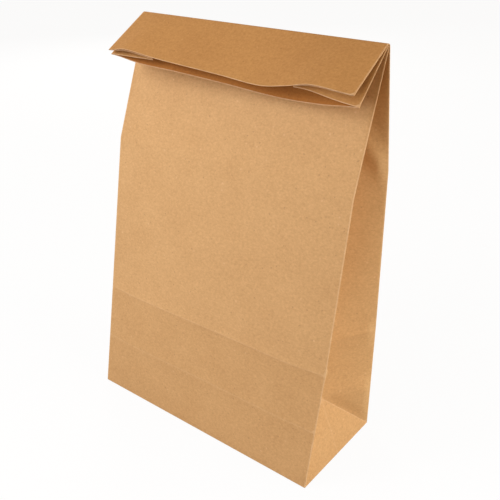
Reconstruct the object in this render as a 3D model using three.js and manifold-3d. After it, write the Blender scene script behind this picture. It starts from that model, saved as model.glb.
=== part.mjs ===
// Paper grocery bag with a block bottom and side gussets, its mouth folded over once towards the front.
// Millimetres, +Z up. The front panel faces -Y, and the origin is the middle of the base, on the ground.
// One folded and glued sheet: its middle surface is a grid of columns round the tube and rows up it,
// given a thickness both ways. Every lengthwise fold wraps a small circle, as creased paper does.

import * as THREE from "three";
import Module from "manifold-3d";
import { mergeVertices } from "three/addons/utils/BufferGeometryUtils.js";

const wasm = await Module();
wasm.setup();

// Sheet
const PAPER = 0.2;
const LAYER_GAP = 0.5;

// Tube, flat size
const BAG_WIDTH = 260;
const BAG_DEPTH = 110;

// Panels between the base and the fold, with the bend a little above the middle
const BEND_HEIGHT = 266;
const FRONT_LEAN_AT_CREASE = { left: 22, right: 27 };
const FRONT_LEAN_AT_BEND = { left: 53, right: 58 };
const BACK_BULGE_AT_CREASE = { left: 2.5, right: 3 };
const BACK_BULGE_AT_BEND = { left: 3, right: 3.5 };
const LEAST_GUSSET_INSET = 6;

// Fold across the top and the flap that it turns forward
const RIDGE_HEIGHT = 373.2;
const RIDGE_FORWARD = 12.5;
const FOLD_INNER_RADIUS = 0.6;
const FLAP_LENGTH = 54;

// Slope of the flap's two sheets in degrees below level, at shares of the half width from the middle
const UPPER_SHEET_SLOPE = [
  [-1, 29.5], [-0.82, 26], [-0.56, 30.3], [0, 36.6],
  [0.3, 41], [0.52, 35], [0.71, 28.6], [1, 31.4],
];
const LOWER_SHEET_SLOPE = [
  [-1, 33.4], [-0.73, 40.2], [-0.45, 41.8], [0, 47.3],
  [0.4, 55.6], [0.7, 52.4], [1, 44.6],
];

// Glued bottom flaps: how far each passes the middle of the base
const BOTTOM_OVERLAP = 10;

// Mesh counts
const GUSSET_CELLS = 4;
const PANEL_CELLS = 16;
const ARC_CELLS = 3;
const BODY_CELLS = 4;
const UPPER_CELLS = 4;
const RIDGE_CELLS = 6;
const FLAP_CELLS = 5;

// Worked-out sizes
const LAYER_PITCH = PAPER + LAYER_GAP;
const CREASE_RADIUS = LAYER_PITCH / 2;
const HALF_WIDTH = BAG_WIDTH / 2 - PAPER / 2;
const HALF_DEPTH = BAG_DEPTH / 2 - PAPER / 2;
const HALF_GUSSET = BAG_DEPTH / 2;
const STACK = 3 * LAYER_PITCH;
const FOLD_OUTER_RADIUS = FOLD_INNER_RADIUS + STACK;
const BASE_LAYERS = 3;
const BASE_HEIGHT = (BASE_LAYERS - 0.5) * PAPER;
const ridgeCentre = {
  y: BAG_DEPTH / 2 - RIDGE_FORWARD,
  z: RIDGE_HEIGHT - FOLD_OUTER_RADIUS - PAPER / 2,
};

const degrees = Math.PI / 180;
const mix = (a, b, t) => a + (b - a) * t;
const mixPoint = (a, b, t) => ({ y: mix(a.y, b.y, t), z: mix(a.z, b.z, t) });

// A smooth curve through a few [share, value] pairs, level at both ends
function smoothCurve(points) {
  const slopes = points.map((point, i) => {
    if (i === 0 || i === points.length - 1) return 0;
    return (points[i + 1][1] - points[i - 1][1]) / (points[i + 1][0] - points[i - 1][0]);
  });
  return (share) => {
    const s = THREE.MathUtils.clamp(share, -1, 1);
    const last = points.length - 2;
    const i = Math.min(last, points.filter((point) => point[0] <= s).length - 1);
    const step = points[i + 1][0] - points[i][0];
    const t = (s - points[i][0]) / step;
    const rise = points[i][1] * (1 + 2 * t) * (1 - t) ** 2 + points[i + 1][1] * t * t * (3 - 2 * t);
    return rise + step * (slopes[i] * t * (1 - t) ** 2 - slopes[i + 1] * t * t * (1 - t));
  };
}

const upperSlope = smoothCurve(UPPER_SHEET_SLOPE);
const lowerSlope = smoothCurve(LOWER_SHEET_SLOPE);

// Side profile of a panel edge at the base, at the crease one bag depth up and at the bend.
// The rise between two of them is what is left of the sheet between them.
function edgeKnots(baseY, creaseY, bendY) {
  const base = { y: baseY, z: BASE_HEIGHT };
  const crease = { y: creaseY, z: base.z + Math.sqrt(BAG_DEPTH ** 2 - (creaseY - baseY) ** 2) };
  const upright = BEND_HEIGHT - BAG_DEPTH;
  const bend = { y: bendY, z: crease.z + Math.sqrt(upright ** 2 - (bendY - creaseY) ** 2) };
  return { base, crease, bend };
}

function frontKnots(side) {
  const y = -HALF_DEPTH;
  return edgeKnots(y, y + FRONT_LEAN_AT_CREASE[side], y + FRONT_LEAN_AT_BEND[side]);
}

function backKnots(side) {
  const y = HALF_DEPTH;
  return edgeKnots(y, y + BACK_BULGE_AT_CREASE[side], y + BACK_BULGE_AT_BEND[side]);
}

// Direction, as an angle, in which a panel leaves its bend to run on to the fold's circle
function approachAngle(bend, radius) {
  const dy = ridgeCentre.y - bend.y;
  const dz = ridgeCentre.z - bend.z;
  return Math.atan2(dz, dy) - Math.asin(radius / Math.hypot(dy, dz));
}

function onFold(radius, angle) {
  return { y: ridgeCentre.y + radius * Math.cos(angle), z: ridgeCentre.z + radius * Math.sin(angle) };
}

// One panel, front or back: where its middle surface lies at a row and at a place across the bag
function panelLine(knots, radius, slope) {
  const sides = { left: knots("left"), right: knots("right") };
  const across = (x, pick) => mixPoint(pick(sides.left), pick(sides.right), (x / HALF_WIDTH + 1) / 2);
  const start = (side) => approachAngle(side.bend, radius) - Math.PI / 2;
  const foot = (side) => onFold(radius, start(side));
  return {
    body: (x, t) => across(x, (side) => mixPoint(side.base, side.crease, t)),
    middle: (x, t) => across(x, (side) => mixPoint(side.crease, side.bend, t)),
    upper: (x, t) => across(x, (side) => mixPoint(side.bend, foot(side), t)),
    ridge: (x, t) => {
      const from = mix(start(sides.left), start(sides.right), (x / HALF_WIDTH + 1) / 2);
      return onFold(radius, mix(from, Math.PI / 2 + slope(x / HALF_WIDTH) * degrees, t));
    },
    flap: (x, t) => {
      const angle = slope(x / HALF_WIDTH) * degrees;
      const root = onFold(radius, Math.PI / 2 + angle);
      const reach = FLAP_LENGTH * t;
      return { y: root.y - reach * Math.cos(angle), z: root.z - reach * Math.sin(angle) };
    },
  };
}

const frontPanel = panelLine(frontKnots, FOLD_INNER_RADIUS, lowerSlope);
const backPanel = panelLine(backKnots, FOLD_OUTER_RADIUS, upperSlope);

// Rows up the tube. crease says how far the centre crease of a gusset lies from front to back.
function makeRows() {
  const rows = [];
  const add = (zone, cells, first, crease) => {
    for (let i = first; i <= cells; i += 1) {
      const t = i / cells;
      const front = (x) => frontPanel[zone](x, t);
      const back = (x) => backPanel[zone](x, t);
      rows.push({ zone, t, crease, front, back });
    }
  };
  add("body", 2 * GUSSET_CELLS, 0, 0.5);
  add("middle", BODY_CELLS, 1, 0.5);
  add("upper", UPPER_CELLS, 1, 0.5);
  add("ridge", RIDGE_CELLS, 1, 0.5);
  add("flap", FLAP_CELLS, 1, 1);
  return rows;
}

// Place at a row: x across the bag, h from the front panel towards the back one, and a drop down the sheet
function placeAt(row, x, h, gap, drop) {
  const front = row.front(x);
  const back = row.back(x);
  const point = mixPoint(front, back, h / gap);
  const span = Math.hypot(back.y - front.y, back.z - front.z);
  const down = { y: (back.z - front.z) / span, z: -(back.y - front.y) / span };
  return new THREE.Vector3(x, point.y + drop * down.y, point.z + drop * down.z);
}

// Points round a crease's circle, between two directions of the sheet; turn is 1 to the left, -1 to the right
function wrap(centre, from, to, turn) {
  const points = [];
  for (let i = 0; i <= ARC_CELLS; i += 1) {
    const angle = mix(from, to, i / ARC_CELLS) - (turn * Math.PI) / 2;
    points.push([centre[0] + CREASE_RADIUS * Math.cos(angle), centre[1] + CREASE_RADIUS * Math.sin(angle)]);
  }
  return points;
}

function gussetInset(gap) {
  const reach = HALF_GUSSET - 2 * CREASE_RADIUS;
  const rise = gap / 2 - CREASE_RADIUS;
  return Math.sqrt(Math.max(reach ** 2 - rise ** 2, LEAST_GUSSET_INSET ** 2));
}

// Right-hand gusset at a row above the inner corner of the bottom triangle: front edge, front half,
// centre crease, back half and back edge. side is -1 for the left gusset, which is its mirror image.
function openGusset(row, side, drop) {
  const edge = placeEnds(row, side);
  const gap = edge.gap;
  const x = HALF_WIDTH - CREASE_RADIUS;
  const front = [x, CREASE_RADIUS];
  const back = [x, gap - CREASE_RADIUS];
  const slack = gap - 6 * CREASE_RADIUS;
  const centre = [x - gussetInset(gap), 3 * CREASE_RADIUS + row.crease * slack];
  const toCentre = Math.atan2(centre[1] - front[1], centre[0] - front[0]);
  const toBack = Math.atan2(back[1] - centre[1], back[0] - centre[0]);
  const tuck = (a, b) => Math.asin((2 * CREASE_RADIUS) / Math.hypot(a[0] - b[0], a[1] - b[1]));
  const inward = toCentre + tuck(front, centre);
  const outward = toBack - tuck(centre, back);
  const frontArc = wrap(front, 0, inward, 1);
  const centreArc = wrap(centre, inward, outward, -1);
  const backArc = wrap(back, outward, Math.PI, 1);
  const place = (point, share) => placeAt(row, side * point[0], point[1], gap, share * drop);
  const leg = (from, to, dropFrom, dropTo) => {
    const points = [];
    for (let j = 1; j < GUSSET_CELLS; j += 1) {
      const t = j / GUSSET_CELLS;
      points.push(place([mix(from[0], to[0], t), mix(from[1], to[1], t)], mix(dropFrom, dropTo, t)));
    }
    return points;
  };
  return [
    ...frontArc.map((point) => place(point, 0)),
    ...leg(frontArc[ARC_CELLS], centreArc[0], 0, 1),
    ...centreArc.map((point) => place(point, 1)),
    ...leg(centreArc[ARC_CELLS], backArc[0], 1, 0),
    ...backArc.map((point) => place(point, 0)),
  ];
}

function placeEnds(row, side) {
  const front = row.front(side * HALF_WIDTH);
  const back = row.back(side * HALF_WIDTH);
  return { front, back, gap: Math.hypot(back.y - front.y, back.z - front.z) };
}

// Inner corner of the bottom triangle, where the centre crease of a gusset ends
function triangleTip(row, side) {
  const { front, back, gap } = placeEnds(row, side);
  const inset = gussetInset(gap) + 2 * CREASE_RADIUS;
  const y = (front.y + back.y) / 2;
  const rise = Math.sqrt(HALF_GUSSET ** 2 - inset ** 2 - y ** 2);
  return new THREE.Vector3(side * (HALF_WIDTH - inset), y, BASE_HEIGHT + rise);
}

// Gusset at a row below that corner: the flat triangle on the base edge, and a part of the sheet on either
// side of it, folded along the diagonals that run up from the two corners of the base
function foldedGusset(row, i, side, tip) {
  const { gap } = placeEnds(row, side);
  const x = HALF_WIDTH - CREASE_RADIUS;
  const corner = (h) => placeAt(row, side * HALF_WIDTH, h, gap, 0);
  const base = [-HALF_DEPTH, HALF_DEPTH].map((y) => new THREE.Vector3(side * HALF_WIDTH, y, BASE_HEIGHT));
  const t = i / GUSSET_CELLS;
  const onTriangle = (share) => {
    const foot = base[0].clone().lerp(base[1], share);
    const middle = base[0].clone().lerp(base[1], 0.5);
    return foot.add(tip.clone().sub(middle).multiplyScalar(t));
  };
  const half = (end) => {
    const edge = corner(end * gap);
    const diagonal = base[end].clone().lerp(tip, t);
    const sideways = Math.abs(diagonal.x - edge.x);
    const along = Math.abs(diagonal.y - edge.y);
    const turned = Math.PI / 2 + (i === 0 ? 0 : Math.atan2(sideways, along));
    const arc = wrap([x, CREASE_RADIUS], 0, turned, 1);
    const depth = (h) => (end === 0 ? h : gap - h);
    const points = arc.map((point) => placeAt(row, side * point[0], depth(point[1]), gap, 0));
    for (let j = 1; j < GUSSET_CELLS; j += 1) {
      const share = j / (2 * GUSSET_CELLS);
      if (j < i) points.push(points[ARC_CELLS].clone().lerp(diagonal, j / i));
      else points.push(onTriangle(end === 0 ? share : 1 - share));
    }
    return points;
  };
  const centre = [];
  for (let j = 0; j <= ARC_CELLS; j += 1) {
    centre.push(onTriangle(0.5 + ((j / ARC_CELLS - 0.5) * CREASE_RADIUS) / BAG_DEPTH));
  }
  return [...half(0), ...centre, ...half(1).reverse()];
}

// All the points of a row, round the tube: front panel, right gusset, back panel, left gusset
function ringOf(row, i, drops, tips) {
  const gusset = (side) => {
    const index = side > 0 ? 1 : 0;
    if (i < GUSSET_CELLS) return foldedGusset(row, i, side, tips[index]);
    return openGusset(row, side, drops[index]);
  };
  const panel = (line, side) => {
    const points = [];
    const reach = HALF_WIDTH - CREASE_RADIUS;
    for (let j = 1; j < PANEL_CELLS; j += 1) {
      const x = side * mix(-reach, reach, j / PANEL_CELLS);
      const { y, z } = line(x);
      points.push(new THREE.Vector3(x, y, z));
    }
    return points;
  };
  return [...panel(row.front, 1), ...gusset(1), ...panel(row.back, -1), ...gusset(-1).reverse()];
}

function middleSurface() {
  const rows = makeRows();
  const tips = [-1, 1].map((side) => triangleTip(rows[GUSSET_CELLS], side));
  const bodyRows = rows.filter((row) => row.zone !== "ridge" && row.zone !== "flap").length;
  const tipDrop = tips.map((tip, k) => {
    const { front, back } = placeEnds(rows[GUSSET_CELLS], 2 * k - 1);
    return (front.z + back.z) / 2 - tip.z;
  });
  const rings = rows.map((row, i) => {
    const share = Math.max(0, (bodyRows - 1 - i) / (bodyRows - 1 - GUSSET_CELLS));
    return ringOf(row, i, tipDrop.map((drop) => drop * share), tips);
  });
  const columns = rings[0].length;
  const points = rings.flat();
  const triangles = [];
  const gussetColumns = 3 * (ARC_CELLS + 1) + 2 * (GUSSET_CELLS - 1);
  const halfRing = columns / 2;
  const centreColumn = PANEL_CELLS - 1 + gussetColumns / 2;
  const frontMiddle = PANEL_CELLS / 2 - 1;
  for (let i = 0; i + 1 < rings.length; i += 1) {
    for (let j = 0; j < columns; j += 1) {
      const next = (j + 1) % columns;
      const a = i * columns + j;
      const b = i * columns + next;
      const c = (i + 1) * columns + next;
      const d = (i + 1) * columns + j;
      const turn = j % halfRing;
      const rising = turn >= frontMiddle && turn < centreColumn;
      if (rising) triangles.push([a, b, c], [a, c, d]);
      else triangles.push([a, b, d], [b, c, d]);
    }
  }
  const outline = rings[0].map((point) => new THREE.Vector2(point.x, point.y));
  const floor = THREE.ShapeUtils.triangulateShape(outline, []);
  floor.forEach(([a, b, c]) => triangles.push([a, c, b]));
  const rim = rings[0].map((point, j) => (rings.length - 1) * columns + j);
  return { points, triangles, rim };
}

// Thickens a surface by half the sheet both ways and closes it along its open rim
function thicken({ points, triangles, rim }) {
  const facing = points.map(() => []);
  triangles.forEach((triangle) => {
    const [a, b, c] = triangle.map((index) => points[index]);
    const normal = b.clone().sub(a).cross(c.clone().sub(a)).normalize();
    triangle.forEach((index, corner) => {
      const here = points[index];
      const one = points[triangle[(corner + 1) % 3]].clone().sub(here);
      const two = points[triangle[(corner + 2) % 3]].clone().sub(here);
      facing[index].push({ normal, weight: one.angleTo(two) });
    });
  });
  const offsets = facing.map((faces) => {
    const mean = new THREE.Vector3();
    faces.forEach(({ normal, weight }) => mean.addScaledVector(normal, weight));
    mean.normalize();
    const total = faces.reduce((sum, { weight }) => sum + weight, 0);
    const lean = faces.reduce((sum, { normal, weight }) => sum + weight * mean.dot(normal), 0) / total;
    return mean.multiplyScalar(PAPER / 2 / Math.max(lean, 0.5));
  });
  const count = points.length;
  const corners = [
    ...points.map((point, i) => point.clone().add(offsets[i])),
    ...points.map((point, i) => point.clone().sub(offsets[i])),
  ];
  const faces = [];
  triangles.forEach(([a, b, c]) => faces.push([a, b, c], [a + count, c + count, b + count]));
  rim.forEach((a, j) => {
    const b = rim[(j + 1) % rim.length];
    faces.push([a, b, b + count], [a, b + count, a + count]);
  });
  const geometry = new THREE.BufferGeometry();
  geometry.setAttribute("position", new THREE.Float32BufferAttribute(corners.flatMap((p) => p.toArray()), 3));
  geometry.setIndex(faces.flat());
  return geometry;
}

// Bottom flap, a trapezoid from one long edge of the base to a little past its middle. It starts where the
// round of the base edge ends.
function bottomFlap(side, lowest) {
  const reach = BAG_DEPTH / 2 + BOTTOM_OVERLAP;
  const edge = BAG_DEPTH / 2 - PAPER - CREASE_RADIUS;
  const half = BAG_WIDTH / 2 - PAPER - CREASE_RADIUS;
  const shape = new THREE.Shape();
  shape.moveTo(-half, side * edge);
  shape.lineTo(half, side * edge);
  shape.lineTo(half - reach, side * (edge - reach));
  shape.lineTo(reach - half, side * (edge - reach));
  const geometry = new THREE.ExtrudeGeometry(shape, { depth: BASE_HEIGHT - lowest, bevelEnabled: false });
  return geometry.translate(0, 0, lowest);
}

function solidOf(geometry) {
  const plain = geometry.clone();
  plain.deleteAttribute("normal");
  plain.deleteAttribute("uv");
  const merged = mergeVertices(plain, 1e-5);
  const mesh = new wasm.Mesh({
    numProp: 3,
    vertProperties: new Float32Array(merged.attributes.position.array),
    triVerts: new Uint32Array(merged.index.array),
  });
  return new wasm.Manifold(mesh);
}

function geometryOf(solid) {
  const mesh = solid.getMesh();
  const geometry = new THREE.BufferGeometry();
  geometry.setAttribute("position", new THREE.Float32BufferAttribute(mesh.vertProperties, 3));
  geometry.setIndex(new THREE.Uint32BufferAttribute(mesh.triVerts, 1));
  return geometry;
}

function paperBag() {
  const sheet = solidOf(thicken(middleSurface()));
  const frontFlap = solidOf(bottomFlap(-1, PAPER));
  const backFlap = solidOf(bottomFlap(1, 0));
  return geometryOf(sheet.add(frontFlap).add(backFlap));
}

const kraft = new THREE.MeshStandardMaterial({ color: 0xd6a978, roughness: 0.85, metalness: 0 });
const bag = new THREE.Mesh(paperBag(), kraft);
bag.name = "paper_bag";

const paperBagModel = new THREE.Group();
paperBagModel.name = "grocery_bag";
paperBagModel.add(bag);

export default paperBagModel;
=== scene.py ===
import math

import bpy
from mathutils import Matrix, Vector, noise


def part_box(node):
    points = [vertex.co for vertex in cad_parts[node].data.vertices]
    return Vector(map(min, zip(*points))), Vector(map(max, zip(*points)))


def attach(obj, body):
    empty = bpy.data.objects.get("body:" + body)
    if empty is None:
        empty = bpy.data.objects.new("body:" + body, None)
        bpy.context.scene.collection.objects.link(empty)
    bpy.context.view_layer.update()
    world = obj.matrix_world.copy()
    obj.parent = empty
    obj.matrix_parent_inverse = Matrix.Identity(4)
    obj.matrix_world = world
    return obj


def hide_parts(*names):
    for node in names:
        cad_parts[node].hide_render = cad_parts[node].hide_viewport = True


# A kraft paper grocery bag, its mouth folded over towards the front, on a pale floor.
# Metres, +Z up, front panel towards -Y. The sheet's middle surface is a fine grid of columns round the
# tube and rows up it, in the same places as the frame's solid. Half the paper goes to each side of it.

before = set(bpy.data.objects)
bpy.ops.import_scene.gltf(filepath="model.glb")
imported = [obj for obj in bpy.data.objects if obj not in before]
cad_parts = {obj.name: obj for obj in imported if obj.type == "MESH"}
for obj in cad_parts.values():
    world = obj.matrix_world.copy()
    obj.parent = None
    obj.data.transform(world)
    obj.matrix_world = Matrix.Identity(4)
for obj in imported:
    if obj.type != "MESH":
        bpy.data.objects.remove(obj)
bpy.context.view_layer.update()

# Sheet and tube
PAPER = 0.0002
LAYER_GAP = 0.0005
BAG_WIDTH = 0.260
BAG_DEPTH = 0.110
BEND_HEIGHT = 0.266

# Setback of the two panels at the crease one depth up and at the bend above the middle, left and right
FRONT_LEAN_AT_CREASE = (0.022, 0.027)
FRONT_LEAN_AT_BEND = (0.053, 0.058)
BACK_BULGE_AT_CREASE = (0.0025, 0.003)
BACK_BULGE_AT_BEND = (0.003, 0.0035)

# Fold, flap and the glued flaps of the bottom
RIDGE_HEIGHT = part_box("paper_bag")[1].z
RIDGE_FORWARD = 0.0125
FOLD_INNER_RADIUS = 0.0006
FLAP_LENGTH = 0.054
BOTTOM_OVERLAP = 0.010

# Slope of the flap's two sheets in degrees, by the place across the bag from -1 to 1
UPPER_SHEET_SLOPE = [
    (-1, 29.5), (-0.82, 26), (-0.56, 30.3), (0, 36.6),
    (0.3, 41), (0.52, 35), (0.71, 28.6), (1, 31.4),
]
LOWER_SHEET_SLOPE = [
    (-1, 33.4), (-0.73, 40.2), (-0.45, 41.8), (0, 47.3),
    (0.4, 55.6), (0.7, 52.4), (1, 44.6),
]

# Relief of the sheet: slow waves and a finer cockle, calm near its edges
WAVE_HEIGHT = 0.0008
WAVE_SPAN = 0.085
COCKLE_HEIGHT = 0.00012
COCKLE_SPAN = 0.024
COCKLE_SHIFT = Vector((7, 3, 5))
CALM_EDGE = 0.016
CALM_TOP = 2 * CALM_EDGE

# Bulge of the front panel, and the lines pressed across the sheet, with their reach below and above
FRONT_BULGE = 0.0035
BULGE_EDGE = 0.040
PANEL_LINE_EDGE = CALM_EDGE / 4
PRESSED_LINE_HEIGHT = 0.0006
PRESSED_LINE_REACH = (0.008, 0.008)
SHARP_LINE_HEIGHT = 0.00020
SHARP_LINE_REACH = (0.0014, 0.0014)
GUSSET_LINE_EDGE = CALM_EDGE / 2
GUSSET_LINE_HEIGHT = 0.0030
GUSSET_LINE_REACH = (0.022, 0.011)

# Back half of a gusset: the wedge above the bottom triangle, and the buckle under the fold
WEDGE_HEIGHT = 0.0052
WEDGE_REACH = 0.013
WEDGE_START = 0.047
BUCKLE_HEIGHT = 0.0034
BUCKLE_WIDTH = 0.014
BUCKLE_RISE = 1.35
BUCKLE_TOP = 4 * CALM_EDGE

# Wear and painted highlight on the folds and cut edges: how pale each kind is, and how wide
EDGE_WEAR_AND_HIGHLIGHT = 0.38
RIM_WEAR_AND_HIGHLIGHT = 0.75
DIAGONAL_WEAR_AND_HIGHLIGHT = 0.30
CROSS_WEAR_AND_HIGHLIGHT = 0.16
WEAR_AND_HIGHLIGHT_REACH = 0.0008
WEAR_AND_HIGHLIGHT_CORE = WEAR_AND_HIGHLIGHT_REACH / 3
WEAR_AND_HIGHLIGHT_PATCHES = (0.3, 0.6)
WEAR_AND_HIGHLIGHT_LEAST = 0.6

# Cells of the grid, and the narrow rows on both sides of the crease one depth up
GUSSET_CELLS = 16
PANEL_CELLS = 80
ARC_CELLS = 5
MIDDLE_CELLS = 40
UPPER_CELLS = 32
RIDGE_CELLS = 10
FLAP_CELLS = 20
FINE_STEPS = (0.0007, 0.0014)
SHARP_ANGLE = math.radians(35)

# Worked-out sizes
CREASE_RADIUS = (PAPER + LAYER_GAP) / 2
HALF_WIDTH = BAG_WIDTH / 2 - PAPER / 2
HALF_DEPTH = BAG_DEPTH / 2 - PAPER / 2
FOLD_OUTER_RADIUS = FOLD_INNER_RADIUS + 6 * CREASE_RADIUS
BASE_HEIGHT = 2.5 * PAPER
RIDGE_RUN = 3 * FOLD_OUTER_RADIUS
RIDGE_Y = BAG_DEPTH / 2 - RIDGE_FORWARD
RIDGE_Z = RIDGE_HEIGHT - FOLD_OUTER_RADIUS - PAPER / 2

# Values kept on the sheet's points for its material
STORED_NAMES = ("fold_distance", "fold_wear_and_highlight", "sheet_height", "painted_shade", "inner_face")

# Kraft colours, linear
PAPER_DARK = (0.60, 0.345, 0.150, 1)
PAPER_PALE = (0.75, 0.465, 0.220, 1)
SPECK_DARK = (0.40, 0.21, 0.09, 1)
SPECK_PALE = (0.85, 0.58, 0.33, 1)
# Pale colour of the folds and cut edges: wear and painted highlight
PAPER_WEAR_AND_HIGHLIGHT = (0.88, 0.62, 0.38, 1)

# Painted shade that deepens the paper: on its inner face, and by shares on the flap, the gussets' tops
# and the bottom band
INNER_PAINTED_SHADE = (0.84, 0.64, 0.40, 1)
PAINTED_SHADE_TINT = (0.80, 0.68, 0.50, 1)
MOUTH_SHADE_FADE = 0.004
GUSSET_PAINTED_SHADE = 0.9
BOTTOM_PAINTED_SHADE = 0.12
BOTTOM_FADE = 0.0006

# Grain of the paper: where most of a noise's values lie, its features' span, how far they move the tone
NOISE_SPREAD = (0.3, 0.7)
CLOUD_SPAN, CLOUD_TONE = 0.040, 0.12
MOTTLE_SPAN, MOTTLE_TONE = 0.0055, 0.10
FIBRE_SPAN, FIBRE_TONE = 0.0017, 0.50
FIBRE_STRETCH = (0.7, 0.7, 1)
TOOTH_SPAN = 0.0005
SPECKS = [
    # span of a cell, share of the cells, strength, colour
    (0.0045, 0.16, 0.45, SPECK_DARK),
    (0.0060, 0.12, 0.40, SPECK_PALE),
]
SPECK_EDGE = (0.10, 0.20)
SPECK_SPLIT = 0.02

# Surface of the paper
PAPER_ROUGHNESS = (0.80, 0.90)
PAPER_SPECULAR = 0.3
BUMP_STRENGTH = 0.35
BUMP_DISTANCE = 0.00012
FIBRE_BUMP = 0.7
TOOTH_BUMP = 0.5

# Floor: the colour that the camera sees, and the darker one that lights the bag
FLOOR_HALF = 4.0
FLOOR_DROP = 0.0001
FLOOR_OWN_WHITE = 0.94
FLOOR_SEEN = (0.95, 0.95, 0.95, 1)
FLOOR_COLOUR = (0.38, 0.38, 0.38, 1)
FLOOR_ROUGHNESS = 0.9

# Light
WORLD_COLOUR = (1.0, 0.70, 0.37, 1)
WORLD_STRENGTH = 0.35
LAMPS = [
    # name, place, width, watts, colour
    ("near_left", (-0.40, -0.50, 0.74), 0.4, 2.3, (1.00, 1.02, 1.08)),
    ("low_front", (0.00, -0.95, 0.40), 0.5, 2.2, (0.98, 1.01, 1.08)),
    ("high_left", (-0.80, -1.35, 0.80), 0.9, 5.6, (1.00, 1.04, 1.10)),
    ("right", (1.60, 0.18, 0.55), 0.9, 14.2, (1.03, 1.05, 1.01)),
    ("right_back", (1.50, 0.90, 0.50), 0.9, 6.5, (1.00, 1.00, 1.06)),
    ("left_back", (-1.30, 1.20, 0.80), 0.9, 12.0, (1.00, 1.02, 1.00)),
]

# Camera, from the photograph's perspective
CAMERA_PLACE = Vector((0.38993, -0.45323, 0.48684))
CAMERA_YAW = math.radians(38.62)
CAMERA_PITCH = math.radians(27.47)
CAMERA_ROLL = math.radians(-0.89)
CAMERA_LENS = 52.01
CAMERA_SENSOR = 36


def mix(a, b, t):
    return a + (b - a) * t


def smooth_curve(points):
    """A smooth curve through a few (share, value) pairs, level at both ends."""
    slopes = [0.0]
    for before, after in zip(points, points[2:]):
        slopes.append((after[1] - before[1]) / (after[0] - before[0]))
    slopes.append(0.0)

    def value(share):
        s = min(1.0, max(-1.0, share))
        i = min(len(points) - 2, sum(1 for point in points if point[0] <= s) - 1)
        step = points[i + 1][0] - points[i][0]
        t = (s - points[i][0]) / step
        rise = points[i][1] * (1 + 2 * t) * (1 - t) ** 2 + points[i + 1][1] * t * t * (3 - 2 * t)
        return rise + step * (slopes[i] * t * (1 - t) ** 2 - slopes[i + 1] * t * t * (1 - t))

    return value


def edge_knots(base_y, crease_y, bend_y):
    """Base, crease and bend of a panel's edge as (y, z), each rise being what is left of the sheet."""
    crease_z = BASE_HEIGHT + math.sqrt(BAG_DEPTH**2 - (crease_y - base_y) ** 2)
    upright = BEND_HEIGHT - BAG_DEPTH
    bend_z = crease_z + math.sqrt(upright**2 - (bend_y - crease_y) ** 2)
    return Vector((base_y, BASE_HEIGHT)), Vector((crease_y, crease_z)), Vector((bend_y, bend_z))


def on_fold(radius, angle):
    return Vector((RIDGE_Y + radius * math.cos(angle), RIDGE_Z + radius * math.sin(angle)))


class Panel:
    """Front or back panel: (y, z) of its middle surface at a zone's share t and at x across the bag."""

    def __init__(self, base_y, crease_shift, bend_shift, radius, slope_points):
        shifts = zip(crease_shift, bend_shift)
        self.knots = [edge_knots(base_y, base_y + crease, base_y + bend) for crease, bend in shifts]
        self.radius = radius
        self.slope = smooth_curve(slope_points)
        self.starts = [self.start(bend) for base, crease, bend in self.knots]

    def start(self, bend):
        """Angle at which the straight sheet above the bend meets the fold's circle."""
        dy, dz = RIDGE_Y - bend.x, RIDGE_Z - bend.y
        return math.atan2(dz, dy) - math.asin(self.radius / math.hypot(dy, dz)) - math.pi / 2

    def at(self, zone, x, t):
        share = (x / HALF_WIDTH + 1) / 2
        angle = math.radians(self.slope(x / HALF_WIDTH))
        if zone == "ridge":
            begin = mix(self.starts[0], self.starts[1], share)
            return on_fold(self.radius, mix(begin, math.pi / 2 + angle, t))
        if zone == "flap":
            along = Vector((math.cos(angle), math.sin(angle)))
            return on_fold(self.radius, math.pi / 2 + angle) - FLAP_LENGTH * t * along
        ends = []
        for knots, start in zip(self.knots, self.starts):
            base, crease, bend = knots
            touch = on_fold(self.radius, start)
            low, high = {"body": (base, crease), "middle": (crease, bend), "upper": (bend, touch)}[zone]
            ends.append(low.lerp(high, t))
        return ends[0].lerp(ends[1], share)


FRONT = Panel(-HALF_DEPTH, FRONT_LEAN_AT_CREASE, FRONT_LEAN_AT_BEND, FOLD_INNER_RADIUS, LOWER_SHEET_SLOPE)
BACK = Panel(HALF_DEPTH, BACK_BULGE_AT_CREASE, BACK_BULGE_AT_BEND, FOLD_OUTER_RADIUS, UPPER_SHEET_SLOPE)


class Row:
    """One row round the tube. Its gussets' centre crease lies at a share of the way to the back layer."""

    def __init__(self, zone, t, crease):
        self.zone, self.t, self.crease = zone, t, crease

    def front(self, x):
        return FRONT.at(self.zone, x, self.t)

    def back(self, x):
        return BACK.at(self.zone, x, self.t)

    def gap(self, side):
        return (self.back(side * HALF_WIDTH) - self.front(side * HALF_WIDTH)).length

    def place(self, x, h, gap, drop=0.0):
        front, back = self.front(x), self.back(x)
        point = front.lerp(back, h / gap)
        across = (back - front).normalized()
        return Vector((x, point.x + drop * across.y, point.y - drop * across.x))


def make_rows():
    rows = []
    zones = [
        ("body", 2 * GUSSET_CELLS, 0, 0.5),
        ("middle", MIDDLE_CELLS, 1, 0.5),
        ("upper", UPPER_CELLS, 1, 0.5),
        ("ridge", RIDGE_CELLS, 1, 0.5),
        ("flap", FLAP_CELLS, 1, 1.0),
    ]
    for zone, cells, first, crease in zones:
        shares = [i / cells for i in range(first, cells + 1)]
        if zone == "body":
            shares[-1:-1] = [1 - step / BAG_DEPTH for step in FINE_STEPS[::-1]]
        elif zone == "middle":
            shares[:0] = [step / (BEND_HEIGHT - BAG_DEPTH) for step in FINE_STEPS]
        rows += [Row(zone, share, crease) for share in shares]
    return rows


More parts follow.
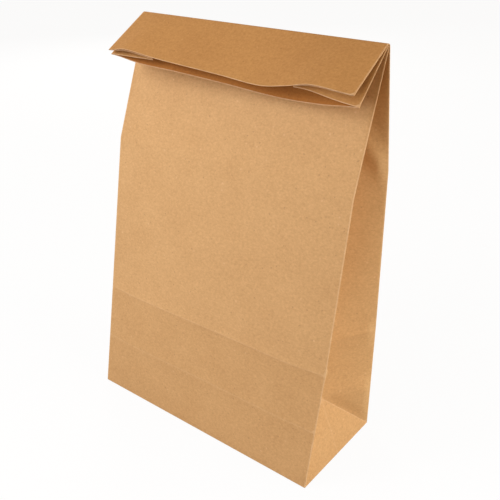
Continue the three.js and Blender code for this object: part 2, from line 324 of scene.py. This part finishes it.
def wrap(centre, begin, end, turn):
    """Points round a crease's circle, between two directions of the sheet."""
    points = []
    for i in range(ARC_CELLS + 1):
        angle = mix(begin, end, i / ARC_CELLS) - turn * math.pi / 2
        points.append(centre + CREASE_RADIUS * Vector((math.cos(angle), math.sin(angle))))
    return points


def gusset_inset(gap):
    reach = BAG_DEPTH / 2 - 2 * CREASE_RADIUS
    return math.sqrt(reach**2 - (gap / 2 - CREASE_RADIUS) ** 2)


def open_gusset(row, side, drop):
    """Gusset of a row above the bottom triangle, from its front edge to its back edge."""
    gap = row.gap(side)
    x = HALF_WIDTH - CREASE_RADIUS
    front = Vector((x, CREASE_RADIUS))
    back = Vector((x, gap - CREASE_RADIUS))
    centre = Vector((x - gusset_inset(gap), 3 * CREASE_RADIUS + row.crease * (gap - 6 * CREASE_RADIUS)))
    inner, outer = centre - front, back - centre
    inward = math.atan2(inner.y, inner.x) + math.asin(2 * CREASE_RADIUS / inner.length)
    outward = math.atan2(outer.y, outer.x) - math.asin(2 * CREASE_RADIUS / outer.length)
    front_arc = wrap(front, 0, inward, 1)
    centre_arc = wrap(centre, inward, outward, -1)
    back_arc = wrap(back, outward, math.pi, 1)

    def place(point, share):
        return row.place(side * point.x, point.y, gap, share * drop)

    def leg(begin, end, first, last):
        shares = [j / GUSSET_CELLS for j in range(1, GUSSET_CELLS)]
        return [place(begin.lerp(end, t), mix(first, last, t)) for t in shares]

    return [
        *[place(point, 0) for point in front_arc],
        *leg(front_arc[-1], centre_arc[0], 0, 1),
        *[place(point, 1) for point in centre_arc],
        *leg(centre_arc[-1], back_arc[0], 1, 0),
        *[place(point, 0) for point in back_arc],
    ]


def triangle_tip(row, side):
    """Inner corner of the bottom triangle, where the centre crease of a gusset ends."""
    gap = row.gap(side)
    inset = gusset_inset(gap) + 2 * CREASE_RADIUS
    y = (row.front(side * HALF_WIDTH).x + row.back(side * HALF_WIDTH).x) / 2
    rise = math.sqrt((BAG_DEPTH / 2) ** 2 - inset**2 - y**2)
    return Vector((side * (HALF_WIDTH - inset), y, BASE_HEIGHT + rise))


def folded_gusset(row, i, side, tip):
    """Gusset of a row below that corner: the flat triangle, and the sheet folded along its diagonals."""
    gap = row.gap(side)
    x = HALF_WIDTH - CREASE_RADIUS
    base = [Vector((side * HALF_WIDTH, y, BASE_HEIGHT)) for y in (-HALF_DEPTH, HALF_DEPTH)]
    t = i / GUSSET_CELLS

    def on_triangle(share):
        return base[0].lerp(base[1], share) + t * (tip - base[0].lerp(base[1], 0.5))

    def half(end):
        edge = row.place(side * HALF_WIDTH, end * gap, gap)
        diagonal = base[end].lerp(tip, t)
        turned = math.pi / 2
        if i:
            turned += math.atan2(abs(diagonal.x - edge.x), abs(diagonal.y - edge.y))
        arc = wrap(Vector((x, CREASE_RADIUS)), 0, turned, 1)
        points = [row.place(side * p.x, gap - p.y if end else p.y, gap) for p in arc]
        start = points[-1]
        for j in range(1, GUSSET_CELLS):
            share = j / (2 * GUSSET_CELLS)
            flat = on_triangle(1 - share if end else share)
            points.append(start.lerp(diagonal, j / i) if j < i else flat)
        return points

    strip = CREASE_RADIUS / BAG_DEPTH
    centre = [on_triangle(0.5 + (j / ARC_CELLS - 0.5) * strip) for j in range(ARC_CELLS + 1)]
    return half(0) + centre + half(1)[::-1]


def panel_points(line, side):
    reach = HALF_WIDTH - CREASE_RADIUS
    points = []
    for j in range(1, PANEL_CELLS):
        x = side * mix(-reach, reach, j / PANEL_CELLS)
        y, z = line(x)
        points.append(Vector((x, y, z)))
    return points


def middle_surface():
    """Points and faces of the sheet's middle surface, and how many columns and rows it has."""
    rows = make_rows()
    tip_row = rows[GUSSET_CELLS]
    tips = {side: triangle_tip(tip_row, side) for side in (-1, 1)}
    last_body = sum(1 for row in rows if row.zone not in ("ridge", "flap")) - 1
    drops = {}
    for side, tip in tips.items():
        level = (tip_row.front(side * HALF_WIDTH).y + tip_row.back(side * HALF_WIDTH).y) / 2
        drops[side] = level - tip.z
    rings = []
    for i, row in enumerate(rows):
        share = max(0.0, (last_body - i) / (last_body - GUSSET_CELLS))
        sides = {}
        for side in (-1, 1):
            if i < GUSSET_CELLS:
                sides[side] = folded_gusset(row, i, side, tips[side])
            else:
                sides[side] = open_gusset(row, side, drops[side] * share)
        front, back = panel_points(row.front, 1), panel_points(row.back, -1)
        rings.append(front + sides[1] + back + sides[-1][::-1])
    columns = len(rings[0])
    gusset_columns = columns // 2 - (PANEL_CELLS - 1)
    faces = []
    for i in range(len(rings) - 1):
        for j in range(columns):
            after = (j + 1) % columns
            a, b = i * columns + j, i * columns + after
            c, d = b + columns, a + columns
            half_turn = j % (columns // 2) - (PANEL_CELLS - 1)
            folds = i < GUSSET_CELLS and half_turn >= 0
            if folds and half_turn < gusset_columns / 2:
                faces += [(a, b, c), (a, c, d)]
            elif folds:
                faces += [(a, b, d), (b, c, d)]
            else:
                faces.append((a, b, c, d))
    return [point for ring in rings for point in ring], faces, columns, len(rings)


def smooth_step(low, high, value):
    t = min(1.0, max(0.0, (value - low) / (high - low)))
    return t * t * (3 - 2 * t)


def heights_up_the_sheet():
    """Distance of each row from the base along the sheet, and that of the fold's start."""
    top = RIDGE_Z + BASE_HEIGHT
    turned = top + RIDGE_RUN
    spans = {
        "body": (0, BAG_DEPTH),
        "middle": (BAG_DEPTH, BEND_HEIGHT),
        "upper": (BEND_HEIGHT, top),
        "ridge": (top, turned),
        "flap": (turned, turned + FLAP_LENGTH),
    }
    return [mix(*spans[row.zone], row.t) for row in make_rows()], top


def columns_round_the_tube():
    """Each column's part of the tube and its distance from that part's own outer edge."""
    reach = 2 * (HALF_WIDTH - CREASE_RADIUS)
    steps = [j / PANEL_CELLS for j in range(1, PANEL_CELLS)]
    panel = [min(t, 1 - t) * reach for t in steps]
    leg = [j / GUSSET_CELLS * BAG_DEPTH / 2 for j in range(1, GUSSET_CELLS)]
    fold = [0.0] * (ARC_CELLS + 1)
    middle = [BAG_DEPTH / 2] * (ARC_CELLS + 1)
    front_half = [("gusset_front", s) for s in [*fold, *leg]]
    back_half = [("gusset_back", s) for s in [*leg[::-1], *fold]]
    gusset = [*front_half, *[("gusset_centre", s) for s in middle], *back_half]
    front = [("front", s) for s in panel]
    back = [("back", s) for s in panel]
    return [*front, *gusset, *back, *gusset[::-1]]


def roof(height, line, below, above):
    """A rise that is whole at a line up the sheet and nothing some way below and above it."""
    reach = below if height < line else above
    return max(0.0, 1 - abs(height - line) / reach)


def relief(part, inset, height, top, point):
    """How far the sheet stands out from its folded form at a point."""
    calm = smooth_step(0, CALM_EDGE, inset) * smooth_step(0, CALM_TOP, top - height)
    calm *= smooth_step(0, CALM_EDGE, height)
    if part == "gusset_centre":
        calm = 0.0
    elif part.startswith("gusset"):
        calm *= smooth_step(0, CALM_EDGE, BAG_DEPTH / 2 - inset)
    wave = noise.noise(point / WAVE_SPAN) * WAVE_HEIGHT
    cockle = noise.noise(point / COCKLE_SPAN + COCKLE_SHIFT) * COCKLE_HEIGHT
    rise = calm * (wave + cockle)
    if part in ("front", "back"):
        edge = smooth_step(0, PANEL_LINE_EDGE, inset)
        for line in (BAG_DEPTH / 2, BAG_DEPTH):
            rise += edge * PRESSED_LINE_HEIGHT * roof(height, line, *PRESSED_LINE_REACH)
        rise += edge * SHARP_LINE_HEIGHT * roof(height, BAG_DEPTH, *SHARP_LINE_REACH)
        if part == "front":
            bulge = roof(height, BAG_DEPTH, BAG_DEPTH, BEND_HEIGHT - BAG_DEPTH)
            rise += smooth_step(0, BULGE_EDGE, inset) * FRONT_BULGE * bulge
    else:
        edge = smooth_step(0, GUSSET_LINE_EDGE, inset)
        rise += edge * GUSSET_LINE_HEIGHT * roof(height, BAG_DEPTH, *GUSSET_LINE_REACH)
        rise += edge * SHARP_LINE_HEIGHT * roof(height, BAG_DEPTH, *SHARP_LINE_REACH)
    if part == "gusset_back":
        share = inset / (BAG_DEPTH / 2)
        line = mix(WEDGE_START, BAG_DEPTH / 2, share)
        ends = edge * (1 - share)
        ends *= smooth_step(0, CALM_EDGE, height - inset)
        rise += WEDGE_HEIGHT * ends * roof(height, line, line, WEDGE_REACH)
        away = height - BEND_HEIGHT - BUCKLE_RISE * inset
        ends = edge * smooth_step(0, CALM_EDGE, BAG_DEPTH / 2 - inset)
        ends *= smooth_step(0, BUCKLE_TOP, top - height)
        rise += BUCKLE_HEIGHT * math.exp(-((away / BUCKLE_WIDTH) ** 2)) * ends
    return rise


def shape_sheet(mesh, points, columns):
    """Moves the folded form's points by the relief, along the sheet's own normals."""
    heights, top = heights_up_the_sheet()
    places = columns_round_the_tube()
    for index, vertex in enumerate(mesh.vertices):
        part, inset = places[index % columns]
        step = relief(part, inset, heights[index // columns], top, points[index])
        points[index] = points[index] + vertex.normal * step


def nearest_fold(part, inset, height, rim):
    """Distance to the nearest fold or cut edge, and how pale its wear and painted highlight are."""
    lines = [(inset, EDGE_WEAR_AND_HIGHLIGHT), (rim, RIM_WEAR_AND_HIGHLIGHT)]
    if part.startswith("gusset") and height < BAG_DEPTH / 2 + CALM_EDGE:
        lines.append((abs(inset - height) / math.sqrt(2), DIAGONAL_WEAR_AND_HIGHLIGHT))
        lines.append((BAG_DEPTH / 2 - inset, CROSS_WEAR_AND_HIGHLIGHT))
    if not part.startswith("gusset"):
        lines += [(abs(height - line), CROSS_WEAR_AND_HIGHLIGHT) for line in (BAG_DEPTH / 2, BAG_DEPTH)]
    return min(lines)


def bottom_flap(side, lowest, highest):
    """Corners and faces of a glued flap of the block bottom, as one flat plate."""
    reach = BAG_DEPTH / 2 + BOTTOM_OVERLAP
    edge = BAG_DEPTH / 2 - PAPER - CREASE_RADIUS
    half = BAG_WIDTH / 2 - PAPER - CREASE_RADIUS
    outline = [(-half, edge), (half, edge), (half - reach, edge - reach), (reach - half, edge - reach)]
    corners = [Vector((x, side * y, z)) for z in (lowest, highest) for x, y in outline]
    faces = [(0, 1, 2, 3), (7, 6, 5, 4)] + [(j, j + 4, (j + 1) % 4 + 4, (j + 1) % 4) for j in range(4)]
    return corners, faces if side > 0 else [face[::-1] for face in faces]


def point_values(rows_up, top, places):
    """For each point of one face of the sheet, all the stored values but the last."""
    values = []
    for height in rows_up:
        rim = rows_up[-1] - height
        for part, inset in places:
            # Painted shade: the flap over the fold, and the gussets' tops under it, are marked to be
            # darkened
            painted_shade = smooth_step(0, MOUTH_SHADE_FADE, height - top)
            if part.startswith("gusset"):
                risen = height + BUCKLE_RISE * inset / 2
                painted_shade = max(painted_shade, GUSSET_PAINTED_SHADE * smooth_step(BEND_HEIGHT, top, risen))
            values.append((*nearest_fold(part, inset, height, rim), height, painted_shade))
    return values


def build_bag():
    points, faces, columns, row_count = middle_surface()
    base = list(range(columns))[::-1]
    middle = bpy.data.meshes.new("middle_surface")
    middle.from_pydata(points, [], [*faces, base])
    middle.update()
    shape_sheet(middle, points, columns)
    for vertex, point in zip(middle.vertices, points):
        vertex.co = point
    middle.update()
    normals = [vertex.normal.copy() for vertex in middle.vertices]
    bpy.data.meshes.remove(middle)
    corners = [point + normal * PAPER / 2 for point, normal in zip(points, normals)]
    corners += [point - normal * PAPER / 2 for point, normal in zip(points, normals)]
    count = len(points)
    shell = [*faces, base]
    shell += [tuple(index + count for index in reversed(face)) for face in shell]
    last = (row_count - 1) * columns
    for j in range(columns):
        a, b = last + j, last + (j + 1) % columns
        shell.append((a, b, b + count, a + count))
    one_face = point_values(*heights_up_the_sheet(), columns_round_the_tube())
    stored = [(*values, inner) for inner in (0.0, 1.0) for values in one_face]
    for side, lowest, highest in ((-1, PAPER, 2 * PAPER), (1, 0.0, PAPER)):
        flap_corners, flap_faces = bottom_flap(side, lowest, highest)
        shell += [tuple(len(corners) + index for index in face) for face in flap_faces]
        corners += flap_corners
        stored += [(BAG_DEPTH, 0.0, 0.0, 0.0, 0.0)] * len(flap_corners)
    mesh = bpy.data.meshes.new("paper_sheet")
    mesh.from_pydata(corners, [], shell)
    mesh.update()
    for name, values in zip(STORED_NAMES, zip(*stored)):
        mesh.attributes.new(name, "FLOAT", "POINT").data.foreach_set("value", values)
    for polygon in mesh.polygons:
        polygon.use_smooth = True
    mesh.set_sharp_from_angle(angle=SHARP_ANGLE)
    bag = bpy.data.objects.new("paper_sheet", mesh)
    bpy.context.collection.objects.link(bag)
    return bag


def kraft_paper():
    """Unbleached kraft: a warm brown with faint clouds, fine fibres, specks and a matt, fibrous face."""
    material = bpy.data.materials.new("kraft_paper")
    material.use_nodes = True
    nodes, links = material.node_tree.nodes, material.node_tree.links
    shader = nodes["Principled BSDF"]
    shader.inputs["Specular IOR Level"].default_value = PAPER_SPECULAR
    place = nodes.new("ShaderNodeTexCoord").outputs["Object"]

    def node(kind, **values):
        made = nodes.new(kind)
        for name, value in values.items():
            setattr(made, name, value)
        return made

    def grain(span, stretch=(1, 1, 1), detail=3.0, rough=0.55):
        """Noise with features of about a span, longer where the stretch is under 1."""
        mapping = node("ShaderNodeMapping")
        mapping.inputs["Scale"].default_value = stretch
        links.new(place, mapping.inputs["Vector"])
        texture = node("ShaderNodeTexNoise")
        texture.inputs["Scale"].default_value = 1 / span
        texture.inputs["Detail"].default_value = detail
        texture.inputs["Roughness"].default_value = rough
        links.new(mapping.outputs["Vector"], texture.inputs["Vector"])
        return texture.outputs["Fac"]

    def ranged(value, low, high, out_low, out_high):
        ramp = node("ShaderNodeMapRange")
        limits = {"From Min": low, "From Max": high, "To Min": out_low, "To Max": out_high}
        for name, number in limits.items():
            ramp.inputs[name].default_value = number
        links.new(value, ramp.inputs["Value"])
        return ramp.outputs["Result"]

    def maths(operation, one, two):
        made = node("ShaderNodeMath", operation=operation)
        for socket, value in zip(made.inputs, (one, two)):
            if isinstance(value, (int, float)):
                socket.default_value = value
            else:
                links.new(value, socket)
        return made.outputs["Value"]

    def mixed(factor, one, two, blend="MIX"):
        made = node("ShaderNodeMix", data_type="RGBA", blend_type=blend)
        links.new(factor, made.inputs["Factor"])
        for name, value in (("A", one), ("B", two)):
            socket = next(s for s in made.inputs if s.name == name and s.type == "RGBA")
            if isinstance(value, tuple):
                socket.default_value = value
            else:
                links.new(value, socket)
        return next(s for s in made.outputs if s.type == "RGBA")

    def specks(span, share):
        """Scattered specks, on a share of the cells of a Voronoi pattern."""
        texture = node("ShaderNodeTexVoronoi")
        texture.inputs["Scale"].default_value = 1 / span
        links.new(place, texture.inputs["Vector"])
        dot = ranged(texture.outputs["Distance"], *SPECK_EDGE, 1, 0)
        split = node("ShaderNodeSeparateColor")
        links.new(texture.outputs["Color"], split.inputs["Color"])
        chosen = ranged(split.outputs["Red"], share, share + SPECK_SPLIT, 1, 0)
        return maths("MULTIPLY", dot, chosen)

    def stored(name):
        attribute = node("ShaderNodeAttribute")
        attribute.attribute_name = name
        return attribute.outputs["Fac"]

    def toned(value, reach):
        return ranged(value, *NOISE_SPREAD, -reach, reach)

    clouds = grain(CLOUD_SPAN, detail=2.0)
    mottle = grain(MOTTLE_SPAN, rough=0.6)
    fibres = grain(FIBRE_SPAN, stretch=FIBRE_STRETCH, detail=4.0, rough=0.75)
    tone = maths("ADD", toned(clouds, CLOUD_TONE), toned(mottle, MOTTLE_TONE))
    tone = maths("ADD", tone, toned(fibres, FIBRE_TONE))
    tone = maths("ADD", tone, 0.5)
    paper = mixed(tone, PAPER_DARK, PAPER_PALE)
    for span, share, strength, colour in SPECKS:
        paper = mixed(maths("MULTIPLY", specks(span, share), strength), paper, colour)
    height = stored("sheet_height")
    # Painted shade: the sheet is darker below the crease one depth up
    bottom = ranged(height, BAG_DEPTH - BOTTOM_FADE, BAG_DEPTH + BOTTOM_FADE, BOTTOM_PAINTED_SHADE, 0)
    # Painted shade: the flap, the gussets' tops and the band below the crease one depth up are darkened
    paper = mixed(maths("MAXIMUM", bottom, stored("painted_shade")), paper, PAINTED_SHADE_TINT, "MULTIPLY")
    # Painted shade: the inner face of the sheet is deeper and more orange, for the shade between the
    # layers
    paper = mixed(stored("inner_face"), paper, INNER_PAINTED_SHADE, "MULTIPLY")
    # Wear and painted highlight: paler lines along the folds and cut edges
    near = ranged(stored("fold_distance"), WEAR_AND_HIGHLIGHT_CORE, WEAR_AND_HIGHLIGHT_REACH, 1, 0)
    wear_and_highlight = maths("MULTIPLY", near, stored("fold_wear_and_highlight"))
    wear_and_highlight = maths("MULTIPLY", wear_and_highlight, ranged(mottle, *WEAR_AND_HIGHLIGHT_PATCHES, WEAR_AND_HIGHLIGHT_LEAST, 1))
    paper = mixed(wear_and_highlight, paper, PAPER_WEAR_AND_HIGHLIGHT)
    links.new(paper, shader.inputs["Base Color"])
    links.new(ranged(mottle, *NOISE_SPREAD, *PAPER_ROUGHNESS), shader.inputs["Roughness"])
    bump = node("ShaderNodeBump")
    bump.inputs["Strength"].default_value = BUMP_STRENGTH
    bump.inputs["Distance"].default_value = BUMP_DISTANCE
    tooth = maths("MULTIPLY", grain(TOOTH_SPAN), TOOTH_BUMP)
    links.new(maths("ADD", maths("MULTIPLY", fibres, FIBRE_BUMP), tooth), bump.inputs["Height"])
    links.new(bump.outputs["Normal"], shader.inputs["Normal"])
    return material


def build_floor():
    """White floor. To the camera it is mostly its own white, with the bag's shadow kept in the rest."""
    mesh = bpy.data.meshes.new("floor")
    signs = ((-1, -1), (1, -1), (1, 1), (-1, 1))
    corners = [(x * FLOOR_HALF, y * FLOOR_HALF, -FLOOR_DROP) for x, y in signs]
    mesh.from_pydata(corners, [], [(0, 1, 2, 3)])
    floor = bpy.data.objects.new("floor", mesh)
    bpy.context.collection.objects.link(floor)
    material = bpy.data.materials.new("white_floor")
    material.use_nodes = True
    nodes, links = material.node_tree.nodes, material.node_tree.links
    shader = nodes["Principled BSDF"]
    shader.inputs["Roughness"].default_value = FLOOR_ROUGHNESS
    shader.inputs["Specular IOR Level"].default_value = 0.0
    white = nodes.new("ShaderNodeEmission")
    white.inputs["Strength"].default_value = 1.0
    rays = nodes.new("ShaderNodeLightPath")
    tint = nodes.new("ShaderNodeMix")
    tint.data_type = "RGBA"
    links.new(rays.outputs["Is Camera Ray"], tint.inputs["Factor"])
    unseen, seen = [socket for socket in tint.inputs if socket.type == "RGBA"]
    unseen.default_value = FLOOR_COLOUR
    seen.default_value = FLOOR_SEEN
    colour = next(socket for socket in tint.outputs if socket.type == "RGBA")
    links.new(colour, shader.inputs["Base Color"])
    share = nodes.new("ShaderNodeMath")
    share.operation = "MULTIPLY"
    share.inputs[1].default_value = FLOOR_OWN_WHITE
    links.new(rays.outputs["Is Camera Ray"], share.inputs[0])
    blend = nodes.new("ShaderNodeMixShader")
    links.new(share.outputs["Value"], blend.inputs["Fac"])
    links.new(shader.outputs["BSDF"], blend.inputs[1])
    links.new(white.outputs["Emission"], blend.inputs[2])
    links.new(blend.outputs["Shader"], nodes["Material Output"].inputs["Surface"])
    mesh.materials.append(material)


def area_lamp(name, place, target, size, watts, colour):
    light = bpy.data.lights.new(name, "AREA")
    light.shape = "DISK"
    light.size = size
    light.energy = watts
    light.color = colour
    lamp = bpy.data.objects.new(name, light)
    lamp.location = place
    lamp.rotation_euler = (Vector(target) - Vector(place)).to_track_quat("-Z", "Y").to_euler()
    bpy.context.collection.objects.link(lamp)


def build_light():
    """Soft lamps in a dimmer, warmer surround that the camera sees white."""
    world = bpy.data.worlds.new("studio")
    bpy.context.scene.world = world
    world.use_nodes = True
    nodes = world.node_tree.nodes
    background = nodes["Background"]
    background.inputs["Color"].default_value = WORLD_COLOUR
    background.inputs["Strength"].default_value = WORLD_STRENGTH
    white = nodes.new("ShaderNodeBackground")
    white.inputs["Color"].default_value = (1, 1, 1, 1)
    white.inputs["Strength"].default_value = 1.0
    rays = nodes.new("ShaderNodeLightPath")
    blend = nodes.new("ShaderNodeMixShader")
    links = world.node_tree.links
    links.new(rays.outputs["Is Camera Ray"], blend.inputs["Fac"])
    links.new(background.outputs["Background"], blend.inputs[1])
    links.new(white.outputs["Background"], blend.inputs[2])
    links.new(blend.outputs["Shader"], nodes["World Output"].inputs["Surface"])
    for name, place, width, watts, colour in LAMPS:
        area_lamp(name, place, (0, 0, RIDGE_HEIGHT / 2), width, watts, colour)


def build_camera():
    cos, sin = math.cos, math.sin
    flat = cos(CAMERA_PITCH)
    ahead = Vector((-sin(CAMERA_YAW) * flat, cos(CAMERA_YAW) * flat, -sin(CAMERA_PITCH)))
    level = Vector((cos(CAMERA_YAW), sin(CAMERA_YAW), 0))
    upright = level.cross(ahead)
    right = cos(CAMERA_ROLL) * level + sin(CAMERA_ROLL) * upright
    up = cos(CAMERA_ROLL) * upright - sin(CAMERA_ROLL) * level
    turn = Matrix((right, up, -ahead)).transposed()
    data = bpy.data.cameras.new("camera")
    data.lens = CAMERA_LENS
    data.sensor_width = CAMERA_SENSOR
    data.sensor_fit = "HORIZONTAL"
    camera = bpy.data.objects.new("camera", data)
    camera.matrix_world = Matrix.Translation(CAMERA_PLACE) @ turn.to_4x4()
    bpy.context.collection.objects.link(camera)
    bpy.context.scene.camera = camera


build_camera()
bag = build_bag()
bag.data.materials.append(kraft_paper())
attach(bag, "root")
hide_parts("paper_bag")
build_floor()
build_light()
bpy.context.scene.view_settings.view_transform = "Standard"
